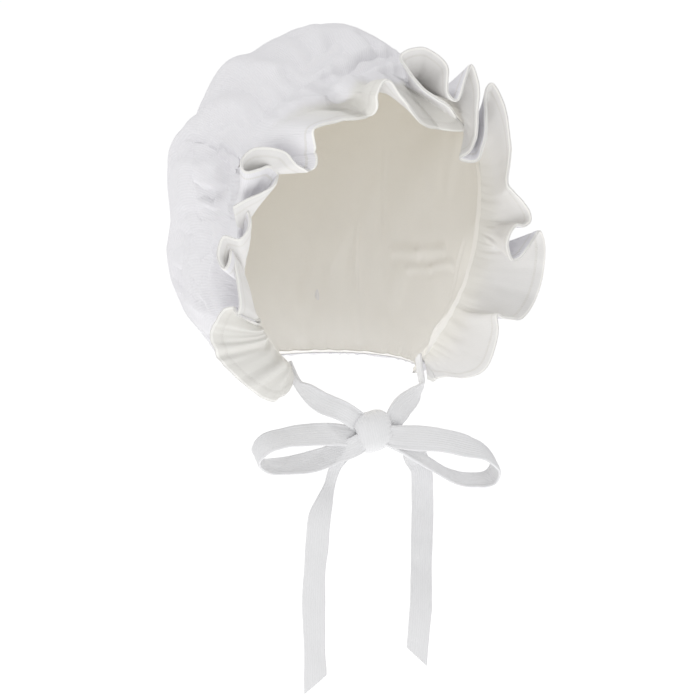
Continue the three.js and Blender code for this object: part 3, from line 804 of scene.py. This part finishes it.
# Painted bounce light along the ruffle's hem edge
HEM_PAINTED_BOUNCE_LIGHT = (0.91, 0.90, 0.87)
# Painted shade in the ruffle's stitch groove
STITCH_GROOVE_PAINTED_SHADE = (0.76, 0.745, 0.71)

outer_cloth = ribbed_cloth("outer_cloth", WHITE, WHITE_SHADE, 0.0001)
tie_cloth = ribbed_cloth("tie_cloth", TIE_WHITE, TIE_SHADE, 0.00007)
lining_cloth = plain_cloth("lining_cloth", LINING, LINING_SHADE, LINING_PAINTED_SHADE)
frill_cloth = frill_material(
    "frill_cloth",
    WHITE,
    WHITE_SHADE,
    FRILL_PAINTED_SHADE,
    FRILL_PAINTED_SHADE_DARK,
    HEM_PAINTED_BOUNCE_LIGHT,
    STITCH_GROOVE_PAINTED_SHADE,
)


# Pieces
def place_grid(columns, rows):
    return np.meshgrid(np.linspace(0, 1, columns), np.linspace(0, 1, rows), indexing="ij")


def cut_place(along, back):
    """The place on the flat cloth, in metres."""
    return np.stack([along * CAP_CUT_WIDTH, back * CAP_CUT_DEPTH], -1) * MILLIMETRE


def ring_gather(along):
    """The outer cloth's gathers at the ring, as far as they stand out, in millimetres."""
    total = pleats(along * 46, 3) * 1.1
    total = total + pleats(along * 25, 13) * 1.2 + pleats(along * 130, 17) * 0.35
    corner = smoothstep(np.minimum(along, 1 - along), 0, 0.05)
    calm = 1 - 0.6 * smoothstep(along, 0.30, 0.38) * (1 - smoothstep(along, 0.50, 0.58))
    return np.maximum(total * corner * calm, -0.85)


def lining_gather(along):
    """The lining's gathers at the ring, as far as they stand in."""
    calm = 1 - 0.55 * smoothstep(along, 0.58, 0.70)
    total = ((pleats(along * 40, 43) + 0.6) * 0.9 + pleats(along * 95, 49) * 0.2) * calm
    return np.maximum(total, 0)


def crown_detail(along, back):
    """The rise of the outer cloth's face: gathers, lumps and creases."""
    behind = back * CAP_CUT_DEPTH
    ahead = (1 - back) * CAP_CUT_DEPTH
    near = np.exp(-behind / 17)
    gather = ring_gather(along) * near
    spread = pleats(along * 70, 15) * 0.45 * np.exp(-behind / 34) * (1 - near)
    nape = pleats(along * 34, 5) * 0.9 * np.exp(-ahead / 14)
    lumps = noise(along * 13, back * 5, 21) * 2.4 + noise(along * 31, back * 9, 22) * 0.8
    middle = smoothstep(behind, 2, 30) * smoothstep(ahead, 4, 30)
    corner = smoothstep(np.minimum(along, 1 - along), 0, 0.05)
    unseen = smoothstep(np.maximum(along, back), 0.42, 0.56)
    small = creased(along, back, random_creases(60, 33, 1.3))
    creases = creased(along, back, CROWN_CREASES) + small * middle * (0.35 + 0.65 * unseen)
    return (gather + spread + nape + lumps * middle - creases * CREASE_DEPTH) * corner


def crown_face(along, back, rise=0.0):
    """A point on the outer cloth's visible face."""
    return cap_point(along, back, -crown_detail(along, back) - rise)


def make_crown():
    along, back = place_grid(*CROWN_GRID)
    front = crown_face(along, back)
    rear = cap_point(along, back, np.full_like(along, OUTER_WALL))
    uv = cut_place(along, back)
    return closed_sheet("crown_cloth", front, rear, uv, uv, outer_cloth)


def add_painted_shade_and_bounce(obj, values):
    """How far the cloth is painted darker and yellower at each point, from 0 to 1, as painted shade
    and painted bounce light.
    """
    layer = obj.data.attributes.new("painted_shade_and_bounce", "FLOAT", "POINT")
    layer.data.foreach_set("value", values.astype(np.float32))


def lining_detail(along, back):
    """The rise of the lining's inner face: gathers, casing, tucks and creases."""
    behind = back * CAP_CUT_DEPTH
    ahead = (1 - back) * CAP_CUT_DEPTH
    gather = lining_gather(along) * np.exp(-behind / 18)
    casing = 0.45 * bump_at(behind, 9, 3.0) - 0.30 * bump_at(behind, 4.5, 0.9)
    casing = casing - 0.30 * bump_at(behind, 13.5, 0.9)
    nape = (pleats(along * 22, 45) + 0.5) * 0.7 * np.exp(-ahead / 12)
    corner = np.minimum(along, 1 - along)
    tuck = (pleats(back * 7, 46) + 0.5) * 1.3 * np.exp(-corner / 0.05) * smoothstep(corner, 0, 0.02)
    lumps = (noise(along * 9, back * 5, 47) + 0.6) * 0.9 * smoothstep(behind, 4, 30)
    lumps += noise(along * 24, back * 6, 48) * 0.3 * smoothstep(behind, 4, 20)
    creases = creased(along, back, LINING_CREASES)
    creases = creases + creased(along, back, random_creases(30, 51, -0.5))
    return np.maximum(gather + casing + nape + tuck + lumps - creases, -0.1)


def lining_near(along, back):
    """The depth of the lining's hidden face, which hangs loose at the sides."""
    behind = back * CAP_CUT_DEPTH
    sides = smoothstep(along, 0.64, 0.80) * (1 - smoothstep(along, 0.95, 0.995)) * 5.0
    sides = sides + smoothstep(along, 0.01, 0.06) * (1 - smoothstep(along, 0.16, 0.30)) * 4.0
    loose = sides * behind / 24 * np.exp(1 - behind / 24)
    return OUTER_WALL + PIECE_GAP + loose


def lining_face(along, back, rise=0.0):
    """A point on the lining's visible face."""
    depth = lining_near(along, back) + LINING_WALL + lining_detail(along, back) + rise
    return cap_point(along, back, depth)


def make_lining():
    along, back = place_grid(*LINING_GRID)
    outer = cap_point(along, back, lining_near(along, back))
    inner = lining_face(along, back)
    uv = cut_place(along, back)
    # Painted shade: how far the lining is painted darker and yellower, rising towards the top of the
    # cap.
    painted_shade_and_bounce = smoothstep(inner[..., 2] - inner[..., 0] * 0.5, -165, 25)
    obj = closed_sheet("lining_cloth", outer, inner, uv, uv, lining_cloth)
    add_painted_shade_and_bounce(obj, np.concatenate([painted_shade_and_bounce.ravel(), painted_shade_and_bounce.ravel()]))
    return obj


def frill_roll(place, out):
    """A ridge and the hollow beyond it, which run along the frill's top left part."""
    line = np.interp(place, FRILL_ROLL["place"], FRILL_ROLL["out"])
    deep = np.interp(place, FRILL_ROLL["place"], FRILL_ROLL["depth"], left=0, right=0)
    return deep * (bump_at(out, line - 0.10, 0.13) - 0.9 * bump_at(out, line + 0.14, 0.11))


def frill_lobe(place):
    """1 on the lower left lobe, whose cloth is crumpled, and 0 elsewhere."""
    return 1 - smoothstep(place, 0.075, 0.10)


def frill_wrinkles(place, out, run):
    """How far small wrinkles move the frill's cloth off its smooth form, in millimetres."""
    wrinkles = noise(run / 11, out * 2.2, 62) * 0.8 * out * (1.25 - out)
    wrinkles += noise(run / 5, out * 3, 63) * 0.3 * smoothstep(out, 0, 0.3)
    crumple = noise(run / 7, out * 1.2, 64) * 2.2 + noise(run / 3.2, out * 1.6, 65) * 0.9
    return wrinkles + frill_lobe(place) * crumple * smoothstep(out, 0, 0.3)


def frill_half_wall(from_hem):
    """Half the frill's thickness, drawn in along its stitches and rounded at its hem."""
    half = FRILL_WALL / 2 - 0.22 * bump_at(from_hem, HEM_BAND, 0.45)
    half = half - 0.12 * smoothstep(from_hem, HEM_BAND, 0)
    return half * (0.35 + 0.65 * smoothstep(from_hem, 0, 0.9))


def lay_root(inner, outer, root, out):
    """Both faces bend at the root into the lining's and the outer cloth's and run over them."""
    tucked = 1 - smoothstep(out, 0, ROOT_BLEND * 0.7)
    laid = (1 - smoothstep(out, 0, ROOT_BLEND))[..., None]
    inner_rise = 0.10 - 0.5 * smoothstep(tucked, 0.8, 1)
    inner_face = lining_face(root, tucked * ROOT_LAP_IN / CAP_CUT_DEPTH, inner_rise)
    outer_rise = 0.03 - 0.15 * smoothstep(tucked, 0, 1)
    outer_face = crown_face(root, tucked * ROOT_LAP_OUT / CAP_CUT_DEPTH, outer_rise)
    return inner + (inner_face - inner) * laid, outer + (outer_face - outer) * laid


def frill_painted_shade_and_bounce(place, out):
    """How far the frill's inner and then its outer face is painted yellower and darker, from 0 to 1:
    painted shade inside and painted bounce light on the outer strip.
    """
    # Painted bounce light: the outer face under the roll is painted yellower, as if lit by light
    # thrown back from the lining.
    strip = smoothstep(place, 0.345, 0.37) * (1 - smoothstep(place, 0.44, 0.47))
    line = np.interp(place, FRILL_ROLL["place"], FRILL_ROLL["out"])
    outer = strip * smoothstep(out, line, line + 0.1)
    # Painted shade: the inner face is painted yellower and darker everywhere, more so near the root
    # and on the lower left lobe.
    inner = 0.6 + 0.4 * (1 - smoothstep(out, 0.0, 0.55)) + 0.4 * frill_lobe(place)
    return np.concatenate([inner.ravel(), outer.ravel()])


def make_frill():
    columns, rows = FRILL_GRID
    place, out = place_grid(columns, rows)
    out = out - 0.12 * np.sin(2 * math.pi * out)
    root = along_rows(FOLDS["root"], place)
    hem_line = hem_point(np.linspace(0, 1, columns))
    run = np.concatenate([[0], np.cumsum(np.linalg.norm(np.diff(hem_line, axis=0), axis=1))])
    run = np.repeat(run[:, None], rows, 1)
    wide = along_rows(FOLDS["width"], place) * FRILL_WIDTH
    fade = (1 - out) ** 2.2
    from_hem = (1 - out) * wide
    half = frill_half_wall(from_hem) + 0.28 * (1 - smoothstep(out, 0, 0.2))
    dents = creased(root, np.zeros_like(root), CROWN_CREASES) * CREASE_DEPTH * (1 - out) ** 3
    normal = outward(frill_middle, place, out)
    moved = frill_wrinkles(place, out, run) - frill_roll(place, out)
    middle = frill_middle(place, out) + normal * moved[..., None]
    inner = middle + normal * (half + lining_gather(root) * fade)[..., None]
    outer = middle - normal * (half + ring_gather(root) * fade - dents)[..., None]
    inner, outer = lay_root(inner, outer, root, out)
    uv_outer = np.stack([run * MILLIMETRE, (FRILL_WIDTH - from_hem) * MILLIMETRE], -1)
    uv_inner = uv_outer + np.array([0.0, 1.0])
    obj = closed_sheet("frill_cloth", inner, outer, uv_inner, uv_outer, frill_cloth)
    add_painted_shade_and_bounce(obj, frill_painted_shade_and_bounce(place, out))
    return obj


# Ties
def width_direction(rows):
    """Which way each station's width runs, from its two angles in degrees."""
    swing = np.radians(rows["swing"])
    rise = np.radians(rows["rise"])
    return np.stack([np.cos(rise) * np.cos(swing), np.cos(rise) * np.sin(swing), np.sin(rise)], -1)


knot = np.array([0, KNOT_Y, KNOT_Z], float)


def seat_stations(side):
    """The tie's sewn end inside the cap's corner."""
    hidden = SEAT["along"][-1:]
    along = hidden if side < 0 else 1 - hidden
    depth = np.full_like(along, CAP_WALL + SEAT_OFFSET)
    point = cap_point(along, np.full_like(along, 0.35), depth)
    ahead = cap_form(along, np.full_like(along, 0.30))
    behind = cap_form(along, np.full_like(along, 0.40))
    return point, unit(ahead - behind), SEAT["wide"][-1:] * TIE_WIDTH


def strap_stations(rows, side):
    """The stations from the cap's corner to the knot."""
    point = np.stack([
        side * CORNER_HALF * (1 - rows["inward"]),
        CORNER_Y + (KNOT_Y - CORNER_Y) * rows["forward"],
        CORNER_Z + (KNOT_Z - CORNER_Z) * rows["down"],
    ], -1)
    return point, width_direction(rows), rows["wide"] * TIE_WIDTH


def into_knot(rows):
    """The strap's rows as far as the knot, whose wrap covers the rest."""
    kept = {name: values[:-2] for name, values in rows.items()}
    deepest = 1.12 - 0.14 * smoothstep(kept["down"], 0.5, 0.9)
    kept["forward"] = np.minimum(kept["forward"], deepest)
    return kept


def behind_loop(rows):
    """The tail leaves the knot behind the loop's lower band, drawn narrow."""
    moved = dict(rows)
    near = 1 - smoothstep(-rows["up"], 0.17, 0.33)
    moved["back"] = rows["back"] + 0.07 * near
    moved["wide"] = rows["wide"] * (1 - 0.16 * near)
    return moved


def full_lower_band(rows):
    """The loop's lower band comes forward to the knot and turns its face to the front."""
    moved = dict(rows)
    returning = np.arange(len(rows["across"])) > np.argmin(rows["across"])
    near = returning * smoothstep(rows["across"], -0.80, -0.25)
    moved["back"] = rows["back"] - 0.095 * near
    moved["up"] = rows["up"] - 0.045 * returning * smoothstep(rows["across"], -0.32, -0.18)
    moved["rise"] = rows["rise"] + 17 * near * (rows["rise"] < 70)
    return moved


def route_stations(rows, size):
    """The stations of a loop or a tail, in shares of its reach from the knot."""
    point = np.stack([rows["across"], rows["back"], rows["up"]], -1) * size + knot
    return point, width_direction(rows), rows["wide"] * TIE_WIDTH


def join_stations(*parts):
    return [np.concatenate([part[i] for part in parts]) for i in range(3)]


def smooth_path(points, steps):
    """Points along a smooth curve through the stations, evenly by station."""
    ends = [2 * points[0] - points[1], *points, 2 * points[-1] - points[-2]]
    p = np.array(ends)
    place = np.linspace(0, len(points) - 1, steps)
    i = np.minimum(place.astype(int), len(points) - 2)
    f = (place - i)[:, None]
    gap = np.maximum(np.linalg.norm(np.diff(p, axis=0), axis=1) ** 0.5, 1e-6)
    x0, x1, x2, x3 = p[i], p[i + 1], p[i + 2], p[i + 3]
    d0, d1, d2 = gap[i][:, None], gap[i + 1][:, None], gap[i + 2][:, None]
    t1 = ((x1 - x0) / d0 - (x2 - x0) / (d0 + d1) + (x2 - x1) / d1) * d1
    t2 = ((x2 - x1) / d1 - (x3 - x1) / (d1 + d2) + (x3 - x2) / d2) * d1
    cubic = (2 * x1 - 2 * x2 + t1 + t2) * f ** 3 + (3 * x2 - 3 * x1 - 2 * t1 - t2) * f ** 2
    return cubic + t1 * f + x1, place


def band_relief(run, across, from_knot, seed):
    """How far a tie's cloth bows and ripples, more so near the knot, in millimetres."""
    bow = 0.45 * noise(run / 16, across * 0 + 0.5, seed) * (1 - across ** 2)
    ripple = 0.22 * noise(run / 4.5, across * 2.2 + 5, seed + 1)
    pinch = 0.55 * np.cos(3.4 * math.pi * across + seed) * np.exp(-((from_knot / 15) ** 2))
    return bow + ripple + pinch


def folded_edge(across):
    """A ridge along each folded edge with a line of stitches beside it."""
    side = np.abs(across)
    return 0.14 * bump_at(side, 0.86, 0.07) - 0.12 * bump_at(side, 0.70, 0.05)


def band_faces(rings, sides):
    """The faces of a row of rings, closed at both ends."""
    at = np.arange(rings * sides).reshape(rings, sides)
    i = at[:-1]
    j = at[1:]
    faces = [np.stack([i, np.roll(i, -1, 1), np.roll(j, -1, 1), j], -1).reshape(-1, 4)]
    for ring, order in ((at[0], -1), (at[-1], 1)):
        a = ring[:sides // 2]
        b = ring[::-1][:sides // 2]
        faces.append(np.stack([a[:-1], a[1:], b[1:], b[:-1]], -1)[:, ::order])
    return np.concatenate(faces)


def make_band(name, stations, seed, slant=0.0):
    """A flat cloth tie with folded edges, a shallow fold down its middle and small creases."""
    points, across, wide = stations
    steps = BAND_STEPS * (len(points) - 1)
    centre, place = smooth_path(points, steps)
    share = place / (len(points) - 1)
    direction = np.stack([along_rows(across[:, k], share) for k in range(3)], -1)
    half_wide = along_rows(wide, share) / 2
    tangent = unit(np.gradient(centre, axis=0))
    direction = unit(direction - tangent * np.sum(direction * tangent, -1, keepdims=True))
    thin = np.cross(tangent, direction)
    run = np.concatenate([[0], np.cumsum(np.linalg.norm(np.diff(centre, axis=0), axis=1))])
    turn = np.arange(BAND_SIDES) * 2 * math.pi / BAND_SIDES
    u = np.sign(np.cos(turn)) * np.abs(np.cos(turn)) ** 0.55
    v = np.sign(np.sin(turn)) * np.abs(np.sin(turn)) ** 0.45
    run_grid, u_grid = np.meshgrid(run, u, indexing="ij")
    face = np.where(v >= 0, 1.0, -1.0)[None, :]
    from_knot = np.linalg.norm(centre - knot, axis=1)[:, None]
    relief = band_relief(run_grid, u_grid, from_knot, seed)
    sway = 0.35 * noise(run / 13, run * 0, seed + 2)
    out = v[None, :] * TIE_THICK / 2 + relief + face * folded_edge(u_grid)
    shift = slant * u_grid * half_wide[:, None] * smoothstep(run_grid, run[-1] - 14, run[-1])
    reach = u_grid * (half_wide + sway)[:, None]
    verts = centre[:, None, :] + direction[:, None, :] * reach[..., None]
    verts = verts + thin[:, None, :] * out[..., None] + tangent[:, None, :] * shift[..., None]
    flat = u_grid * half_wide[:, None]
    uv = np.stack([flat * MILLIMETRE, run_grid * MILLIMETRE], -1)
    faces = band_faces(*verts.shape[:2])
    return make_object(name, verts.reshape(-1, 3), faces, uv.reshape(-1, 2), tie_cloth)


def make_wrap():
    """The band of the right tie that goes round the knot."""
    tilt = math.radians(KNOT_TILT)
    axis = np.array([math.cos(tilt), 0, math.sin(tilt)])
    rise = np.array([-math.sin(tilt), 0, math.cos(tilt)])
    turn = np.arange(WRAP_STEPS) * 2 * math.pi / WRAP_STEPS
    side = np.linspace(-1, 1, WRAP_COLUMNS)
    turn_grid, side_grid = np.meshgrid(turn, side, indexing="ij")
    c = np.cos(turn_grid)
    s = np.sin(turn_grid)
    y = np.sign(c) * np.abs(c) ** 0.85
    z = np.sign(s) * np.abs(s) ** 0.85
    puff = 4.0 * (1 - side_grid ** 2) ** 0.5 - 2.2
    crease = 0.5 * noise(side_grid * 2.3 + 9, turn_grid * 0.8, 91)
    crease = crease + 0.3 * np.cos(turn_grid * 26) * smoothstep(side_grid, 0.35, 0.95)
    width = KNOT_WRAP_WIDTH / 2 * (1.06 + 0.1 * np.abs(s))
    outer = puff + crease + TIE_THICK / 2
    inner = np.full_like(outer, -TIE_THICK / 2)
    pinch = 1 - 0.30 * np.abs(side_grid) ** 5

    def ring(offset):
        point = knot + axis * (side_grid * width)[..., None]
        point = point + rise * (z * (KNOT_HALF_HEIGHT + offset) * pinch)[..., None]
        return point + np.array([0, 1.0, 0]) * (y * (KNOT_HALF_DEPTH + offset) * pinch)[..., None]

    front = ring(outer)
    rear = ring(inner)
    columns, rows = front.shape[:2]
    count = columns * rows
    verts = np.concatenate([front.reshape(-1, 3), rear.reshape(-1, 3)])
    run = turn_grid * (KNOT_HALF_HEIGHT + KNOT_HALF_DEPTH) / 2
    uv = np.stack([side_grid * width * MILLIMETRE, run * MILLIMETRE], -1).reshape(-1, 2)
    uv = np.concatenate([uv, uv])
    faces = [grid_faces(columns, rows, 0, True), grid_faces(columns, rows, count, True)[:, ::-1]]
    at = np.arange(count).reshape(columns, rows)
    for edge, order in ((at[:, 0], -1), (at[:, -1], 1)):
        following = np.roll(edge, -1)
        strip = np.stack([following, edge, edge + count, following + count], -1)
        faces.append(strip[:, ::order])
    return make_object("knot_wrap", verts, np.concatenate(faces), uv, tie_cloth)


crown = make_crown()
lining = make_lining()
frill = make_frill()
right_strap = make_band("right_strap", join_stations(
    seat_stations(-1),
    strap_stations(into_knot(RIGHT_STRAP), -1),
), 71)
right_loop = make_band("right_loop", route_stations(RIGHT_LOOP, RIGHT_LOOP_REACH), 74)
right_tail = make_band(
    "right_tail",
    route_stations(behind_loop(RIGHT_TAIL), RIGHT_TAIL_DROP),
    77,
    slant=0.7,
)
wrap = make_wrap()
left_tie = make_band("left_tie", join_stations(
    seat_stations(1),
    strap_stations(LEFT_STRAP, 1),
    route_stations(full_lower_band(LEFT_LOOP), LEFT_LOOP_REACH),
    route_stations(LEFT_TAIL, LEFT_TAIL_DROP),
), 81, slant=-0.8)

for piece, node, slot in (
    (crown, "crown", "outer_cloth"),
    (lining, "lining", "lining_cloth"),
    (frill, "frill", "outer_cloth"),
    (right_strap, "tie_right", "tie_cloth"),
    (right_loop, "tie_right", "tie_cloth"),
    (right_tail, "tie_right", "tie_cloth"),
    (wrap, "tie_right", "tie_cloth"),
    (left_tie, "tie_left", "tie_cloth"),
):
    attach(piece, "root")
    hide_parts(node)


# Floor, light and camera
def make_floor():
    mesh = bpy.data.meshes.new("floor")
    size = 40.0
    level = -0.45
    mesh.from_pydata(
        [(-size, -size, level), (size, -size, level), (size, size, level), (-size, size, level)],
        [],
        [(0, 1, 2, 3)],
    )
    material, _, shader = new_material("floor_paint", 0.9, 0.0)
    shader.inputs["Base Color"].default_value = (0.95, 0.95, 0.95, 1.0)
    shader.inputs["Emission Color"].default_value = (1.0, 1.0, 1.0, 1.0)
    shader.inputs["Emission Strength"].default_value = 0.46
    mesh.materials.append(material)
    floor = bpy.data.objects.new("floor", mesh)
    bpy.context.collection.objects.link(floor)


def make_light(name, place, aim, size, power):
    data = bpy.data.lights.new(name, "AREA")
    data.shape = "DISK"
    data.size = size
    data.energy = power
    light = bpy.data.objects.new(name, data)
    light.location = place
    light.rotation_euler = (Vector(aim) - Vector(place)).to_track_quat("-Z", "Y").to_euler()
    bpy.context.collection.objects.link(light)


def make_glow(place, radius, power):
    """The light that comes through the thin cloth into the cap."""
    data = bpy.data.lights.new("glow", "POINT")
    data.shadow_soft_size = radius
    data.energy = power
    light = bpy.data.objects.new("glow", data)
    light.location = place
    bpy.context.collection.objects.link(light)


def make_world(strength):
    world = bpy.data.worlds.new("studio")
    world.use_nodes = True
    background = world.node_tree.nodes["Background"]
    background.inputs[0].default_value = (1.0, 1.0, 1.0, 1.0)
    background.inputs[1].default_value = strength
    bpy.context.scene.world = world


def make_camera():
    azimuth = math.radians(-23)
    elevation = math.radians(8)
    distance = 1.5
    frame_width = 0.35
    target = Vector((0.012, 0.0, -0.1588))
    back = Vector((
        math.sin(azimuth) * math.cos(elevation),
        -math.cos(azimuth) * math.cos(elevation),
        math.sin(elevation),
    ))
    data = bpy.data.cameras.new("camera")
    data.sensor_width = 36.0
    data.lens = data.sensor_width * distance / frame_width
    camera = bpy.data.objects.new("camera", data)
    turned = back.to_track_quat("Z", "Y").to_matrix().to_4x4()
    camera.matrix_world = Matrix.Translation(target + back * distance) @ turned
    bpy.context.collection.objects.link(camera)
    bpy.context.scene.camera = camera


CAP_MIDDLE = (0, 0, -0.1)

make_floor()
make_world(strength=0.60)
make_light("key", place=(-0.8, -0.35, 2.1), aim=CAP_MIDDLE, size=0.6, power=13)
make_light("fill", place=(0.1, -1.8, 0.35), aim=CAP_MIDDLE, size=1.0, power=1.0)
make_glow(place=(0.015, -0.03, -0.135), radius=0.02, power=0.023)
bpy.context.scene.view_settings.view_transform = "Standard"
make_camera()
